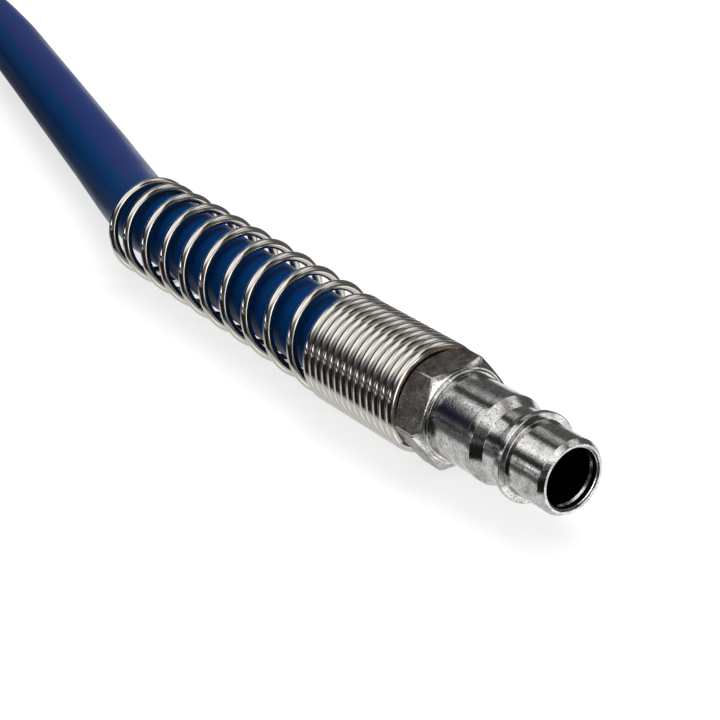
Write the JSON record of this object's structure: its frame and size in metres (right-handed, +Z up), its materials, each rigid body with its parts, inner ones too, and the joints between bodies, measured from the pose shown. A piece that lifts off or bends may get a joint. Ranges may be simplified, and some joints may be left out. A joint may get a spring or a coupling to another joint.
{
  "type": "coiled air hose",
  "caption": "Recoil air hose: a springy plastic tube wound into a coil, with a metal quick plug and a sprung quick coupler, each behind a wire guard spring.",
  "frame": {"origin": "on the plug's axis, at the front end of the nose's full diameter, behind its bevelled tip", "axes": "+X points out of the plug's nose along its axis, +Z is up as the hose lies on a bench, and +Y is across"},
  "size_m": [0.3176, 0.1831, 0.1161],
  "materials": {
    "nickel_plate": "nickel plated turned steel, bright",
    "zinc_plate": "zinc plated steel, satin",
    "spring_wire": "bright drawn spring steel wire",
    "ball_steel": "polished hardened steel",
    "blue_polyurethane": "dark blue polyurethane, smooth with a soft sheen",
    "seal_rubber": "black nitrile rubber, matt",
    "valve_brass": "turned brass"
  },
  "bodies": {
    "hose": {"plug_body": "nickel_plate", "plug_ferrule": "zinc_plate", "plug_hose_end": "blue_polyurethane", "plug_guard_spring": "spring_wire", "hose_plug_tail": "blue_polyurethane", "hose_coil": "blue_polyurethane", "hose_coupler_tail": "blue_polyurethane", "coupler_guard_spring": "spring_wire", "coupler_hose_end": "blue_polyurethane", "coupler_ferrule": "zinc_plate", "coupler_adapter": "nickel_plate", "adapter_seal": "seal_rubber", "coupler_body": "nickel_plate", "nose_seal": "seal_rubber", "retaining_ring": "spring_wire", "sleeve_spring": "spring_wire", "valve_spring": "spring_wire"},
    "sleeve": {"locking_sleeve": "zinc_plate"},
    "valve": {"valve_poppet": "valve_brass", "valve_seal": "seal_rubber"},
    "ball_1": {"locking_ball_1": "ball_steel"},
    "ball_2": {"locking_ball_2": "ball_steel"},
    "ball_3": {"locking_ball_3": "ball_steel"},
    "ball_4": {"locking_ball_4": "ball_steel"}
  },
  "joints": [
    {"name": "sleeve_slide", "type": "slide", "parent": "hose", "child": "sleeve", "axis": [-1, 0, 0], "range_m": [0, 0.004], "stiffness_N_per_m": 2500, "springref_m": -0.004, "deforming": ["sleeve_spring"]},
    {"name": "valve_slide", "type": "slide", "parent": "hose", "child": "valve", "axis": [-1, 0, 0], "range_m": [0, 0.0034], "stiffness_N_per_m": 1500, "springref_m": -0.004, "deforming": ["valve_spring"]},
    {"name": "ball_1_slide", "type": "slide", "parent": "hose", "child": "ball_1", "axis": [0, 0, 1], "range_m": [0, 0.0009]},
    {"name": "ball_2_slide", "type": "slide", "parent": "hose", "child": "ball_2", "axis": [0, 1, 0], "range_m": [0, 0.0009]},
    {"name": "ball_3_slide", "type": "slide", "parent": "hose", "child": "ball_3", "axis": [0, 0, -1], "range_m": [0, 0.0009]},
    {"name": "ball_4_slide", "type": "slide", "parent": "hose", "child": "ball_4", "axis": [0, -1, 0], "range_m": [0, 0.0009]}
  ],
  "couplings": [
    {"joint": "ball_1_slide", "follows": "sleeve_slide", "ratio": 0.225},
    {"joint": "ball_2_slide", "follows": "sleeve_slide", "ratio": 0.225},
    {"joint": "ball_3_slide", "follows": "sleeve_slide", "ratio": 0.225},
    {"joint": "ball_4_slide", "follows": "sleeve_slide", "ratio": 0.225}
  ]
}
